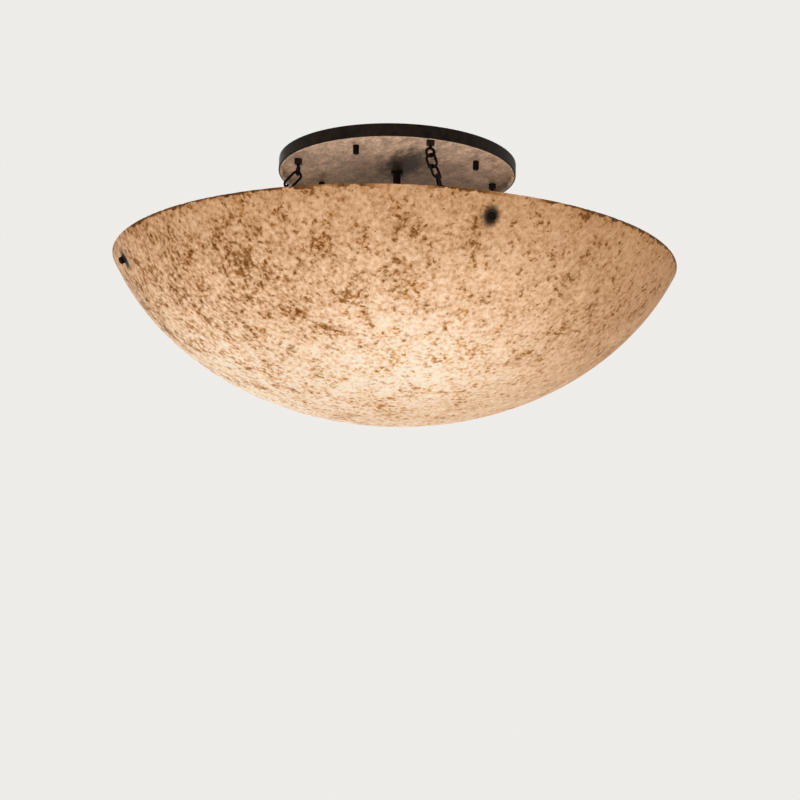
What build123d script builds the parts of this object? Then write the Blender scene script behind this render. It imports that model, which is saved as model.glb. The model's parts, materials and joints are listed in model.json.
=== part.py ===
from build123d import *
from math import asin, atan2, cos, degrees, radians, sin, sqrt
import os

# Semi flush ceiling light: a large art glass bowl under a shallow ceiling pan.
# All sizes are in millimetres. The origin is on the ceiling, on the light's axis,
# +Z points up, and the four bowl arms lie along the X and Y axes.

# ---------------------------------------------------------------- ceiling pan
pan_diameter = 304.0
pan_height = 16.0  # ceiling to the pan's lip
pan_band = 5.0  # thickness of the rolled band
pan_recess = 5.5  # disc's underside above the lip
pan_disc_thickness = 2.0
pan_edge_round = 0.8

# ------------------------------------------------------------ mounting plate
plate_thickness = 2.5
plate_centre_diameter = 124.0
plate_arm_width = 30.0
plate_arm_overhang = 13.0  # beyond the canopy studs
plate_wire_hole = 32.0
box_screw_spacing = 88.9  # screw spacing of a 100 mm octagonal ceiling box
box_slot_length = 20.0
box_slot_width = 5.2
joist_hole_circle = 168.0
joist_hole_diameter = 6.6
ground_screw_offset = 42.0
ground_screw_thread = 4.0
ground_screw_head = 8.0
ground_screw_head_height = 2.4

# ------------------------------------------------- canopy studs and knob nuts
canopy_stud_inset = 41.0  # edge of the pan to a stud
canopy_stud_circle = pan_diameter - 2 * canopy_stud_inset
canopy_stud_thread = 4.8
canopy_nut_diameter = 7.6
canopy_nut_height = 11.5
knob_wall = 1.6  # metal over the end of a stud in a knob nut

# ------------------------------------------------------------------ eye hooks
eye_inset = 21.0  # edge of the pan to an eye
eye_circle = pan_diameter - 2 * eye_inset
eye_outer = 13.5
eye_wire = 3.5
eye_shank = 4.0
eye_drop = 15.5  # pan disc to the centre of an upper ring
eye_stand = 10.0  # arm to the centre of a lower ring
eye_nut_flats = 8.8
eye_nut_height = 7.0
eye_back_nut_flats = 8.0
eye_back_nut_height = 3.0

# --------------------------------------------------------------------- chains
link_length = 29.8
link_width = 13.8
link_wire = 3.2
link_count = 7
link_play = 0.05  # space between two linked wires

# ----------------------------------------------------------------- glass bowl
bowl_diameter = 711.2
bowl_depth = 194.5
bowl_wall = 5.0
bowl_curve_rise = 118.0  # height of the wall curve's centre above the rim
bowl_rim_round = 1.4
rim_drop = 141.5  # ceiling to the rim
stud_below_rim = 23.0
bowl_hole = 7.2

# ------------------------------------------------------ bolts through the bowl
bowl_bolt_thread = 6.0
bowl_bolt_head = 10.0
bowl_bolt_head_height = 3.6
bowl_bolt_reach = 4.0  # thread standing out of the outer gasket
inner_gasket_diameter = 15.0
inner_gasket_thickness = 1.5
outer_gasket_diameter = 9.6
outer_gasket_thickness = 1.0
bowl_nut_diameter = 8.8

# ----------------------------------------------------------------------- arms
arm_width = 16.0
arm_thickness = 3.0
arm_bend_radius = 3.0
arm_end_round = 3.0
arm_inner_gap = 1.0  # between the ends of neighbouring arms
tab_above_bolt = 12.5
tab_below_bolt = 15.0

# ------------------------------------------------------------------------ hub
hub_diameter = 66.0
hub_thickness = 4.0
hub_washer_diameter = 34.0
hub_washer_thickness = 2.0
arm_screw_thread = 4.0
arm_screw_head = 7.0
arm_screw_head_height = 2.4
arm_screw_first = 21.0  # first screw's distance from the axis
arm_screw_spacing = 7.6

# ----------------------------------------------------------------------- stem
stem_diameter = 9.7
stem_bore = 6.5
stem_top_gap = 4.0  # ceiling to the top of the stem
stem_nut_flats = 14.0
stem_nut_height = 3.8
stem_end_beyond_nut = 1.2

# --------------------------------------------------------------- lamp cluster
lamp_drop = 105.0  # rim to the lamps' axis
cluster_diameter = 58.0
cluster_height = 36.0
cluster_wall = 2.5
cluster_top = 3.0
cover_thickness = 2.5
cover_skirt = 5.0
cover_skirt_wall = 2.0
finial_diameter = 14.0
finial_height = 17.0
finial_shank = 6.0
finial_neck = 7.7
finial_nut_flats = 10.5
finial_nut_height = 3.0

# --------------------------------------------------------------- lampholders
nipple_diameter = 9.7
nipple_bore = 6.5
nipple_into_socket = 10.0
nipple_nut_height = 3.0
socket_stand_off = 7.0  # cluster wall to the back of a lampholder
socket_diameter = 42.0
socket_length = 46.0
socket_well = 30.0  # depth of the well for the screw shell
socket_edge_round = 2.0
shell_wall = 0.5
shell_length = 26.0
shell_floor_hole = 12.0
contact_diameter = 8.0
contact_height = 3.0
socket_wire_hole = 4.6

# ---------------------------------------------------------------------- bulbs
cap_diameter = 26.2
cap_length = 23.5
cap_wall = 0.5
cap_thread_gap = 0.6  # bulb cap to screw shell, all round
tip_length = 2.0
tip_button = 1.0
tip_button_diameter = 7.0
tip_cone_step = 0.5  # the cone's small end stands out round the button
tip_cone_base = 21.0
tip_gap = 0.3  # bulb tip to centre contact
bulb_glass_wall = 1.0
bulb_globe_diameter = 60.0
bulb_neck_length = 4.0  # straight neck beyond the cap
bulb_flare_radius = 40.0
bulb_neck_in_cap = 5.0
bulb_neck_gap = 0.2

# --------------------------------------------------------------------- wiring
lead_diameter = 5.0
branch_lead_diameter = 3.4
splice_diameter = 18.0
splice_height = 14.0

# ----------------------------------------------------------------- clearances
slip = 0.05  # between a fixed bolt, pin or tube and its hole, all round
running_gap = 0.06  # between a knob nut and the stud it turns on, all round
hole_room = 0.4  # extra hole size round a loose bolt, all round
seat = 0.05  # between clamped faces that are not flat
nut_gap = 0.15  # between a turning nut and what it bears on
match = 0.01  # how closely an edge is told by its length

SIDE_ANGLES = {"right": 0, "back": 90, "left": 180, "front": 270}
CORNER_ANGLES = {"back_right": 45, "back_left": 135, "front_left": 225, "front_right": 315}


# ============================================================ levels and places
disc_under = -pan_height + pan_recess
disc_top = disc_under + pan_disc_thickness
rim_z = -rim_drop

# The wall of the bowl follows an ellipse whose centre lies above the rim.
curve_z = rim_z + bowl_curve_rise
curve_tall = bowl_depth + bowl_curve_rise
curve_wide = bowl_diameter / 2 / sqrt(1 - (bowl_curve_rise / curve_tall) ** 2)

# Each bowl bolt stands square to the wall.
bolt_z = rim_z - stud_below_rim
bolt_r = curve_wide * sqrt(1 - ((bolt_z - curve_z) / curve_tall) ** 2)
bolt_lean = atan2((curve_z - bolt_z) / curve_tall**2, bolt_r / curve_wide**2)
bolt_plane = Plane(
    origin=(bolt_r, 0, bolt_z),
    x_dir=(0, 1, 0),
    z_dir=(cos(bolt_lean), 0, -sin(bolt_lean)),
)

# The inner gasket bridges the hollow of the wall, so it stands off by its sag.
inner_sag = (inner_gasket_diameter / 2) ** 2 / (1.6 * curve_tall)
gasket_outer_face = -bowl_wall - inner_sag - seat
tab_outer_face = gasket_outer_face - inner_gasket_thickness
tab_inner_face = tab_outer_face - arm_thickness


def bolt_point(out, up):
    """A point beside the bolt: out along its axis, up along the wall."""
    return (
        bolt_r + out * cos(bolt_lean) + up * sin(bolt_lean),
        bolt_z - out * sin(bolt_lean) + up * cos(bolt_lean),
    )


arm_bend = bolt_point(tab_outer_face, -tab_below_bolt)
arm_under = arm_bend[1]
arm_top = arm_under + arm_thickness
arm_start = arm_width / 2 + arm_inner_gap

# Each chain is taut between an upper and a lower ring, and its fixed length
# sets how far out along the arm the lower eye stands.
ring_radius = (eye_outer - eye_wire) / 2
upper_ring_z = disc_under - eye_drop
lower_ring_z = arm_top + eye_stand
link_pitch = link_length - 2 * link_wire - link_play
link_end = (link_length - link_wire) / 2 - (eye_wire + link_wire) / 2 - link_play
chain_length = (link_count - 1) * link_pitch + 2 * link_end
chain_drop = (upper_ring_z - ring_radius) - (lower_ring_z + ring_radius)
chain_slope = asin(chain_drop / chain_length)
lower_eye_r = eye_circle / 2 + chain_length * cos(chain_slope)

lamp_z = rim_z - lamp_drop
cluster_top_z = lamp_z + cluster_height / 2
cluster_under_z = lamp_z - cluster_height / 2
stem_end_z = cluster_top_z - cluster_top - stem_nut_height - stem_end_beyond_nut
hub_under = arm_under - hub_thickness

# Along a lamp's own axis, measured from the light's axis.
socket_back = cluster_diameter / 2 + socket_stand_off
socket_mouth = socket_back + socket_length
well_floor = socket_mouth - socket_well
shell_inner = cap_diameter / 2 + cap_thread_gap
shell_outer = shell_inner + shell_wall
contact_face = well_floor + slip + contact_height
cap_start = contact_face + tip_gap + tip_button + tip_length
cap_end = cap_start + cap_length


# ==================================================================== helpers
def rod(diameter, low, high):
    """A round bar along Z between two heights."""
    return Pos(0, 0, (low + high) / 2) * Cylinder(diameter / 2, high - low)


def ring(outer, inner, low, high):
    """A round bar with a bore, along Z."""
    return rod(outer, low, high) - rod(inner, low, high)


def hex_nut(flats, bore, low, high):
    """A plain six-sided nut along Z."""
    prism = extrude(Plane.XY.offset(low) * RegularPolygon(flats / 2, 6, major_radius=False),
                    high - low)
    return prism - rod(bore, low, high)


def knob_nut(outer, thread, face, end):
    """A round cap nut with a domed end and a blind bore, along +Z."""
    dome = min(outer * 0.22, (end - face) * 0.4)
    body = rod(outer, face, end)
    body = fillet(body.edges().group_by(Axis.Z)[-1], dome)
    return body - rod(thread + 2 * running_gap, face, end - knob_wall)


def turned(shape, angle):
    """The shape turned about the light's axis."""
    return Rot(0, 0, angle) * shape


def on_circle(shape, diameter, angle):
    """The shape moved out to a circle about the light's axis."""
    return Rot(0, 0, angle) * Pos(diameter / 2, 0, 0) * shape


def outward(shape):
    """A shape made along Z, laid along +X at the height of the lamps."""
    return Pos(0, 0, lamp_z) * Rot(0, 90, 0) * shape


def four(shape, angles=SIDE_ANGLES.values()):
    """Four copies of a shape, one for each side."""
    return [turned(shape, angle) for angle in angles]


def save(name, *shapes):
    """Write one sub-part, of one solid or of a group of separate solids."""
    solids = [solid for shape in shapes for solid in shape.solids()]
    whole = solids[0] if len(solids) == 1 else Compound(solids)
    export_step(whole, f"parts/{name}.step")


# ================================================================= ceiling end
def mounting_plate():
    """Cross shaped plate screwed to the ceiling box."""
    reach = canopy_stud_circle / 2 + plate_arm_overhang
    outline = Circle(plate_centre_diameter / 2)
    for angle in (45, 135):
        outline += Rot(0, 0, angle) * RectangleRounded(2 * reach, plate_arm_width,
                                                       plate_arm_width * 0.3)
    outline -= Circle(plate_wire_hole / 2)
    for side in (-1, 1):
        outline -= Pos(side * box_screw_spacing / 2, 0) * SlotOverall(box_slot_length,
                                                                      box_slot_width)
    outline -= Pos(0, ground_screw_offset) * Circle(ground_screw_thread / 2 + slip)
    for angle in CORNER_ANGLES.values():
        joist_hole = Pos(joist_hole_circle / 2, 0) * Circle(joist_hole_diameter / 2)
        stud_hole = Pos(canopy_stud_circle / 2, 0) * Circle(canopy_stud_thread / 2 + slip)
        outline -= Rot(0, 0, angle) * joist_hole
        outline -= Rot(0, 0, angle) * stud_hole
    return extrude(outline, -plate_thickness)


def ground_screw():
    """Pan head screw in the plate for the ground lead."""
    head = rod(ground_screw_head, -plate_thickness - ground_screw_head_height, -plate_thickness)
    head = fillet(head.edges().group_by(Axis.Z)[0], ground_screw_head_height * 0.3)
    return Pos(0, ground_screw_offset, 0) * (head + rod(ground_screw_thread, -plate_thickness, 0))


def ceiling_pan():
    """Rolled band with a recessed disc, one welded piece."""
    band = ring(pan_diameter, pan_diameter - 2 * pan_band, -pan_height, 0)
    band = fillet(band.edges().filter_by(GeomType.CIRCLE), pan_edge_round)
    disc = rod(pan_diameter - pan_band, disc_under, disc_top)
    pan = band + disc - rod(stem_diameter + 2 * hole_room, disc_under, disc_top)
    for angle in CORNER_ANGLES.values():
        pan -= on_circle(rod(canopy_stud_thread + 2 * hole_room, disc_under, disc_top),
                         canopy_stud_circle, angle)
    for angle in SIDE_ANGLES.values():
        pan -= on_circle(rod(eye_shank + 2 * slip, disc_under, disc_top), eye_circle, angle)
    return pan


canopy_nut_end = disc_under - nut_gap - canopy_nut_height
canopy_stud_end = canopy_nut_end + knob_wall + nut_gap


def canopy_stud():
    """Clinch stud that hangs down from the plate through the pan."""
    return rod(canopy_stud_thread, canopy_stud_end, 0)


def canopy_nut():
    """Knob nut that holds the pan up, dome downward."""
    nut = knob_nut(canopy_nut_diameter, canopy_stud_thread, nut_gap, nut_gap + canopy_nut_height)
    return Pos(0, 0, disc_under) * Rot(180, 0, 0) * nut


# ============================================================= eyes and chains
def eye(shank_end):
    """A ring across the radial plane with its shank along +Z up to shank_end."""
    loop = Rot(0, 90, 0) * Torus(ring_radius, eye_wire / 2)
    return loop + rod(eye_shank, ring_radius, shank_end)


def upper_eye():
    """Eye hook hanging from the pan's disc."""
    back = eye_drop + pan_disc_thickness + eye_back_nut_height + slip
    return Pos(0, 0, upper_ring_z) * eye(back)


def lower_eye():
    """Eye standing on an arm."""
    back = eye_stand + arm_thickness + eye_back_nut_height + slip
    return Pos(0, 0, lower_ring_z) * Rot(180, 0, 0) * eye(back)


def upper_eye_nut():
    return hex_nut(eye_nut_flats, eye_shank + 2 * slip, disc_under - eye_nut_height, disc_under)


def upper_back_nut():
    return hex_nut(eye_back_nut_flats, eye_shank + 2 * slip, disc_top,
                   disc_top + eye_back_nut_height)


def lower_eye_nuts():
    """The two nuts that clamp a lower eye to its arm."""
    bore = eye_shank + 2 * slip
    above = hex_nut(eye_back_nut_flats, bore, arm_top, arm_top + eye_back_nut_height)
    below = hex_nut(eye_back_nut_flats, bore, arm_under - eye_back_nut_height, arm_under)
    return [above, below]


def chain_link():
    """One oval link in the XZ plane, its length along X."""
    bend = (link_width - link_wire) / 2
    straight = link_length - link_width
    half_bend = Rot(90, 0, 0) * Torus(bend, link_wire / 2, major_angle=180, align=None)
    side = Rot(0, 90, 0) * Cylinder(link_wire / 2, straight)
    outer_end = Pos(straight / 2, 0, 0) * Rot(0, 90, 0) * half_bend
    inner_end = Rot(0, 180, 0) * outer_end
    return outer_end + inner_end + Pos(0, 0, bend) * side + Pos(0, 0, -bend) * side


def chain():
    """The links of one chain on the +X side, from the pan down to the arm."""
    links = []
    link = chain_link()
    for number in range(link_count):
        along = link_end + number * link_pitch
        place = Pos(eye_circle / 2 + along * cos(chain_slope), 0,
                    upper_ring_z - ring_radius - along * sin(chain_slope))
        roll = 90 * (number % 2)
        links.append(place * Rot(0, degrees(chain_slope), 0) * Rot(roll, 0, 0) * link)
    return links


# ================================================================== glass bowl
def wall_curve(wide, tall):
    """Half of the wall's section, from the bottom out to the rim."""
    swept = 90 - degrees(asin((curve_z - rim_z) / tall))
    return Plane.XZ * EllipticalCenterArc((0, curve_z), wide, tall, -90, arc_size=swept)


def glass_bowl():
    """Open bowl of even wall with four bolt holes near its rim, its seam between them."""
    outer = wall_curve(curve_wide, curve_tall)
    inner = wall_curve(curve_wide - bowl_wall, curve_tall - bowl_wall)
    rim = Line(outer @ 1, inner @ 1)
    bottom = Line(inner @ 0, outer @ 0)
    bowl = turned(revolve(make_face([outer, rim, inner, bottom]), Axis.Z), 45)
    rim_edges = bowl.edges().filter_by(GeomType.CIRCLE).group_by(Axis.Z)[-1]
    bowl = fillet(rim_edges, bowl_rim_round)
    hole = bolt_plane.location * rod(bowl_hole, -3 * bowl_wall, bowl_wall)
    for angle in SIDE_ANGLES.values():
        bowl -= turned(hole, angle)
    return bowl


outer_gasket_face = seat + outer_gasket_thickness
bowl_bolt_end = outer_gasket_face + bowl_bolt_reach


def at_bolt(shape):
    """A shape made along the bolt's axis, from the bowl's outer face."""
    return bolt_plane.location * shape


def bowl_bolt():
    head = rod(bowl_bolt_head, tab_inner_face - bowl_bolt_head_height, tab_inner_face)
    head = fillet(head.edges().group_by(Axis.Z)[0], bowl_bolt_head_height * 0.4)
    return at_bolt(head + rod(bowl_bolt_thread, tab_inner_face, bowl_bolt_end))


def inner_gasket():
    return at_bolt(ring(inner_gasket_diameter, bowl_bolt_thread + 2 * slip,
                        tab_outer_face, gasket_outer_face))


def outer_gasket():
    return at_bolt(ring(outer_gasket_diameter, bowl_bolt_thread + 2 * slip,
                        seat, outer_gasket_face))


def bowl_nut():
    """Knob nut on the outside of the bowl, dome outward."""
    face = outer_gasket_face + nut_gap
    return at_bolt(knob_nut(bowl_nut_diameter, bowl_bolt_thread, face,
                            bowl_bolt_end + nut_gap + knob_wall))


# =============================================================== arms and hub
def arm():
    """Flat bar on the hub whose end is bent up along the inside of the bowl."""
    tip = bolt_point(tab_outer_face, tab_above_bolt)
    tip_inner = bolt_point(tab_inner_face, tab_above_bolt)
    inner_slide = arm_thickness * (1 - sin(bolt_lean)) / cos(bolt_lean)
    bend_inner = (arm_bend[0] - inner_slide, arm_top)
    section = Polyline((arm_start, arm_under), arm_bend, tip, tip_inner, bend_inner,
                       (arm_start, arm_top), close=True)
    bar = extrude(Plane.XZ * make_face(section), arm_width / 2, both=True)
    across = bar.edges().filter_by(Axis.Y)
    outer_bend = across.sort_by_distance((arm_bend[0], 0, arm_bend[1]))[0]
    inner_bend = across.sort_by_distance((bend_inner[0], 0, bend_inner[1]))[0]
    bar = fillet(outer_bend, arm_bend_radius + arm_thickness)
    bar = fillet(bar.edges().filter_by(Axis.Y).sort_by_distance(inner_bend.center())[0],
                 arm_bend_radius)
    tip_corners = [edge for edge in bar.edges().filter_by(GeomType.LINE)
                   if abs(edge.length - arm_thickness) < match
                   and edge.center().Z > arm_top + arm_thickness]
    bar = fillet(tip_corners, arm_end_round)
    bar -= at_bolt(rod(bowl_bolt_thread + 2 * slip, tab_inner_face - 1, tab_outer_face + 1))
    bar -= Pos(lower_eye_r, 0, 0) * rod(eye_shank + 2 * slip, arm_under, arm_top)
    for number in range(2):
        place = Pos(arm_screw_first + number * arm_screw_spacing, 0, 0)
        bar -= place * rod(arm_screw_thread + 2 * slip, arm_under, arm_top)
    return bar


def arm_screw():
    """Pan head screw through an arm into the hub."""
    head = rod(arm_screw_head, arm_top, arm_top + arm_screw_head_height)
    head = fillet(head.edges().group_by(Axis.Z)[-1], arm_screw_head_height * 0.4)
    return head + rod(arm_screw_thread, hub_under, arm_top)


def hub():
    """Round plate under the inner ends of the arms."""
    plate = ring(hub_diameter, stem_diameter + 2 * slip, hub_under, arm_under)
    for angle in SIDE_ANGLES.values():
        for number in range(2):
            place = Pos(arm_screw_first + number * arm_screw_spacing, 0, 0)
            plate -= turned(place * rod(arm_screw_thread + 2 * slip, hub_under, arm_under), angle)
    return plate


def hub_washer():
    return ring(hub_washer_diameter, stem_diameter + 2 * slip, arm_top,
                arm_top + hub_washer_thickness)


# ====================================================================== stem
def stem():
    """Threaded tube that carries the hub, the lamp cluster and the leads."""
    return ring(stem_diameter, stem_bore, stem_end_z, -stem_top_gap)


def stem_nuts():
    """Nuts above and below the pan's disc, the hub and the cluster's top."""
    washer_top = arm_top + hub_washer_thickness
    clamped = [(disc_under, disc_top), (hub_under, washer_top),
               (cluster_top_z - cluster_top, cluster_top_z)]
    nuts = []
    for low, high in clamped:
        nuts.append(hex_nut(stem_nut_flats, stem_diameter + 2 * slip, high,
                            high + stem_nut_height))
        nuts.append(hex_nut(stem_nut_flats, stem_diameter + 2 * slip, low - stem_nut_height, low))
    return nuts


# ============================================================== lamp cluster
def cluster_body():
    """Round cup, open below, that carries the four lampholders."""
    cup = rod(cluster_diameter, cluster_under_z, cluster_top_z)
    cup = fillet(cup.edges().group_by(Axis.Z)[-1], cluster_wall * 0.9)
    cup -= rod(cluster_diameter - 2 * cluster_wall, cluster_under_z, cluster_top_z - cluster_top)
    cup -= rod(stem_diameter + 2 * slip, cluster_top_z - cluster_top, cluster_top_z)
    for angle in SIDE_ANGLES.values():
        cup -= turned(outward(rod(nipple_diameter + 2 * slip, 0, cluster_diameter)), angle)
    return cup


def cluster_cover():
    """Lid with a skirt inside the cup."""
    lid = rod(cluster_diameter, cluster_under_z - cover_thickness, cluster_under_z)
    lid = fillet(lid.edges().group_by(Axis.Z)[0], cover_thickness * 0.6)
    skirt_outer = cluster_diameter - 2 * cluster_wall - 2 * slip
    lid += ring(skirt_outer, skirt_outer - 2 * cover_skirt_wall, cluster_under_z,
                cluster_under_z + cover_skirt)
    return lid - rod(finial_shank + 2 * slip, cluster_under_z - cover_thickness, cluster_under_z)


def finial():
    """Turned knob under the cover."""
    top = cluster_under_z - cover_thickness
    ball_z = top - finial_height + finial_diameter / 2
    knob = Pos(0, 0, ball_z) * Sphere(finial_diameter / 2)
    neck = rod(finial_neck, ball_z, top)
    shank = rod(finial_shank, top, cluster_under_z + finial_nut_height)
    return knob + neck + shank


def finial_nut():
    return hex_nut(finial_nut_flats, finial_shank + 2 * slip, cluster_under_z,
                   cluster_under_z + finial_nut_height)


# =============================================================== lampholders
def nipple():
    """Threaded tube from the cluster into the back of a lampholder."""
    start = cluster_diameter / 2 - cluster_wall - 2 * nipple_nut_height
    return outward(ring(nipple_diameter, nipple_bore, start, socket_back + nipple_into_socket))


def nipple_nuts():
    """A nut inside the cluster's wall and a long one up to the lampholder."""
    bore = nipple_diameter + 2 * slip
    corner = stem_nut_flats / sqrt(3)  # from a hexagon's middle to its corner
    inner_wall = cluster_diameter / 2 - cluster_wall
    wall_at_corner = sqrt(inner_wall**2 - corner**2) - slip
    inside = hex_nut(stem_nut_flats, bore, wall_at_corner - nipple_nut_height, wall_at_corner)
    outside = hex_nut(stem_nut_flats, bore, cluster_diameter / 2 + slip, socket_back)
    return [outward(inside), outward(outside)]


def socket_body():
    """Ceramic body with a deep well in front and a tapped hole behind."""
    body = rod(socket_diameter, socket_back, socket_mouth)
    body = fillet(body.edges().filter_by(GeomType.CIRCLE), socket_edge_round)
    body -= rod(2 * (shell_outer + slip), well_floor, socket_mouth)
    body -= rod(nipple_diameter + 2 * slip, socket_back, socket_back + nipple_into_socket)
    body -= rod(socket_wire_hole, socket_back, well_floor)
    return outward(body)


def screw_shell():
    """Thin brass shell in the well, with a holed floor."""
    start = well_floor + slip
    tube = ring(2 * shell_outer, 2 * shell_inner, start, start + shell_length)
    return outward(tube + ring(2 * shell_outer, shell_floor_hole, start, start + shell_wall))


def centre_contact():
    return outward(rod(contact_diameter, well_floor + slip, contact_face))


# ======================================================================= bulbs
def envelope_section(inset):
    """One wall line of the envelope, from the neck round to its far end."""
    neck = cap_diameter / 2 - cap_wall - bulb_neck_gap
    globe = bulb_globe_diameter / 2
    flare_start = cap_end + bulb_neck_length
    reach = sqrt((globe + bulb_flare_radius) ** 2 - (neck + bulb_flare_radius) ** 2)
    centre = flare_start + reach
    share = globe / (globe + bulb_flare_radius)
    meet = (centre - share * reach, share * (neck + bulb_flare_radius))
    lean = atan2(meet[1], meet[0] - centre)
    globe_r = globe - inset
    flare_r = bulb_flare_radius + inset
    flare_top = neck + bulb_flare_radius
    half_angle = atan2(flare_top - meet[1], meet[0] - flare_start)
    middle = (half_angle + radians(90)) / 2
    join = (centre + globe_r * cos(lean), globe_r * sin(lean))
    straight = Line((cap_end - bulb_neck_in_cap, neck - inset), (flare_start, neck - inset))
    flare = ThreePointArc(
        (flare_start, neck - inset),
        (flare_start + flare_r * cos(middle), flare_top - flare_r * sin(middle)),
        join,
    )
    crown = ThreePointArc(
        join,
        (centre + globe_r * cos(lean / 2), globe_r * sin(lean / 2)),
        (centre + globe_r, 0),
    )
    return [straight, flare, crown]


def bulb_glass():
    """Pear shaped envelope of even wall, open at its neck inside the cap."""
    outer = envelope_section(0)
    inner = envelope_section(bulb_glass_wall)
    neck_edge = Line(outer[0] @ 0, inner[0] @ 0)
    tip_edge = Line(outer[2] @ 1, inner[2] @ 1)
    section = make_face([*outer, *inner, neck_edge, tip_edge])
    return Pos(0, 0, lamp_z) * revolve(section, Axis.X)


def bulb_cap():
    """Thin screw cap, drawn as a smooth cup."""
    cup = rod(cap_diameter, cap_start, cap_end)
    cup -= rod(cap_diameter - 2 * cap_wall, cap_start + cap_wall, cap_end)
    return outward(cup)


def bulb_tip():
    """Insulating cone and the contact button at its end."""
    cone = Cone(tip_button_diameter / 2 + tip_cone_step, tip_cone_base / 2, tip_length)
    cone = Pos(0, 0, cap_start - tip_length / 2) * cone
    button = rod(tip_button_diameter, cap_start - tip_length - tip_button,
                 cap_start - tip_length)
    return [outward(cone), outward(button)]


# ====================================================================== wiring
def splice_cap():
    """Cap over the joined leads in the middle of the cluster."""
    cap = rod(splice_diameter, lamp_z - splice_height / 2, lamp_z + splice_height / 2)
    return fillet(cap.edges().group_by(Axis.Z)[0], splice_diameter * 0.15)


def leads():
    """The lead down the stem, and a branch through each nipple."""
    down = rod(lead_diameter, lamp_z + splice_height / 2, -stem_top_gap)
    start = splice_diameter / 2
    branch = outward(rod(branch_lead_diameter, start + slip, well_floor))
    return [down] + four(branch)


# ======================================================================= build
os.makedirs("parts", exist_ok=True)

save("mounting_plate", mounting_plate())
save("ground_screw", ground_screw())
save("ceiling_pan", ceiling_pan())
save("canopy_studs", *[on_circle(canopy_stud(), canopy_stud_circle, angle)
                       for angle in CORNER_ANGLES.values()])
for corner, angle in CORNER_ANGLES.items():
    save(f"canopy_nut_{corner}", on_circle(canopy_nut(), canopy_stud_circle, angle))

save("upper_eyes", *[on_circle(upper_eye(), eye_circle, angle) for angle in SIDE_ANGLES.values()])
save("upper_eye_nuts",
     *[on_circle(upper_eye_nut(), eye_circle, angle) for angle in SIDE_ANGLES.values()])
save("upper_back_nuts",
     *[on_circle(upper_back_nut(), eye_circle, angle) for angle in SIDE_ANGLES.values()])
save("lower_eyes",
     *[on_circle(lower_eye(), 2 * lower_eye_r, angle) for angle in SIDE_ANGLES.values()])
save("lower_eye_nuts",
     *[on_circle(nut, 2 * lower_eye_r, angle) for nut in lower_eye_nuts()
       for angle in SIDE_ANGLES.values()])

save("stem", stem())
save("stem_nuts", *stem_nuts())
save("hub", hub())
save("hub_washer", hub_washer())
save("arm_screws", *[turned(Pos(arm_screw_first + number * arm_screw_spacing, 0, 0) * arm_screw(),
                            angle)
                     for number in range(2) for angle in SIDE_ANGLES.values()])

save("glass_bowl", glass_bowl())
save("bowl_bolts", *four(bowl_bolt()))
save("inner_gaskets", *four(inner_gasket()))
save("outer_gaskets", *four(outer_gasket()))

save("cluster_body", cluster_body())
save("cluster_cover", cluster_cover())
save("finial", finial())
save("finial_nut", finial_nut())
save("nipples", *four(nipple()))
save("nipple_nuts", *[turned(nut, angle) for nut in nipple_nuts() for angle in SIDE_ANGLES.values()])
save("screw_shells", *four(screw_shell()))
save("centre_contacts", *four(centre_contact()))
save("splice_cap", splice_cap())
save("leads", *leads())

for side, angle in SIDE_ANGLES.items():
    save(f"arm_{side}", turned(arm(), angle))
    save(f"chain_{side}", *[turned(link, angle) for link in chain()])
    save(f"bowl_nut_{side}", turned(bowl_nut(), angle))
    save(f"socket_{side}", turned(socket_body(), angle))
    save(f"bulb_glass_{side}", turned(bulb_glass(), angle))
    save(f"bulb_cap_{side}", turned(bulb_cap(), angle))
    save(f"bulb_tip_{side}", *[turned(piece, angle) for piece in bulb_tip()])

print("chain slope", round(degrees(chain_slope), 1), "lower eye radius", round(lower_eye_r, 1))
print("bolt radius", round(bolt_r, 2), "lean", round(degrees(bolt_lean), 2),
      "arm underside", round(arm_under, 2))
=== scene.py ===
"""Semi flush ceiling light: the looks of its glass, metal and lamps. Lengths are in metres."""

import json
from math import asin, atan2, cos, hypot, pi, radians, sin, sqrt

import bpy
from mathutils import Matrix, Vector, noise


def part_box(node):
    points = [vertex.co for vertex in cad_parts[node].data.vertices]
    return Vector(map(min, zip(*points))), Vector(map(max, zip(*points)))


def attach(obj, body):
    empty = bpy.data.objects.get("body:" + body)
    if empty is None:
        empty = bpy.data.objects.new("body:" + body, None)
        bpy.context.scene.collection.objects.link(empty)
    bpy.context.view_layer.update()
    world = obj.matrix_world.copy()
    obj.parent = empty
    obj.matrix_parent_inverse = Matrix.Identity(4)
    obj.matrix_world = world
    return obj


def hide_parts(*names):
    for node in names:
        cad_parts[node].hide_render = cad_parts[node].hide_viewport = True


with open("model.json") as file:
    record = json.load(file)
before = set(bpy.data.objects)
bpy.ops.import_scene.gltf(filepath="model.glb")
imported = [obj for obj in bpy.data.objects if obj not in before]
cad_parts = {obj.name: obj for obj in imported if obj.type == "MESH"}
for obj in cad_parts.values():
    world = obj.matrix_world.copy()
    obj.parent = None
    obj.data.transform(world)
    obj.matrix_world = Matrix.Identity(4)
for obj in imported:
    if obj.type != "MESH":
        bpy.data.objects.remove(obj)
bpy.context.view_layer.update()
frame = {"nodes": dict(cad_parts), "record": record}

NODES = frame["nodes"]
SIDES = {"right": 0, "back": 90, "left": 180, "front": 270}
CORNERS = ("back_right", "back_left", "front_left", "front_right")


# ------------------------------------------------------------- sizes from the frame
def low(node):
    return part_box(node)[0]


def high(node):
    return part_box(node)[1]


def tallness(node):
    return high(node).z - low(node).z


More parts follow.
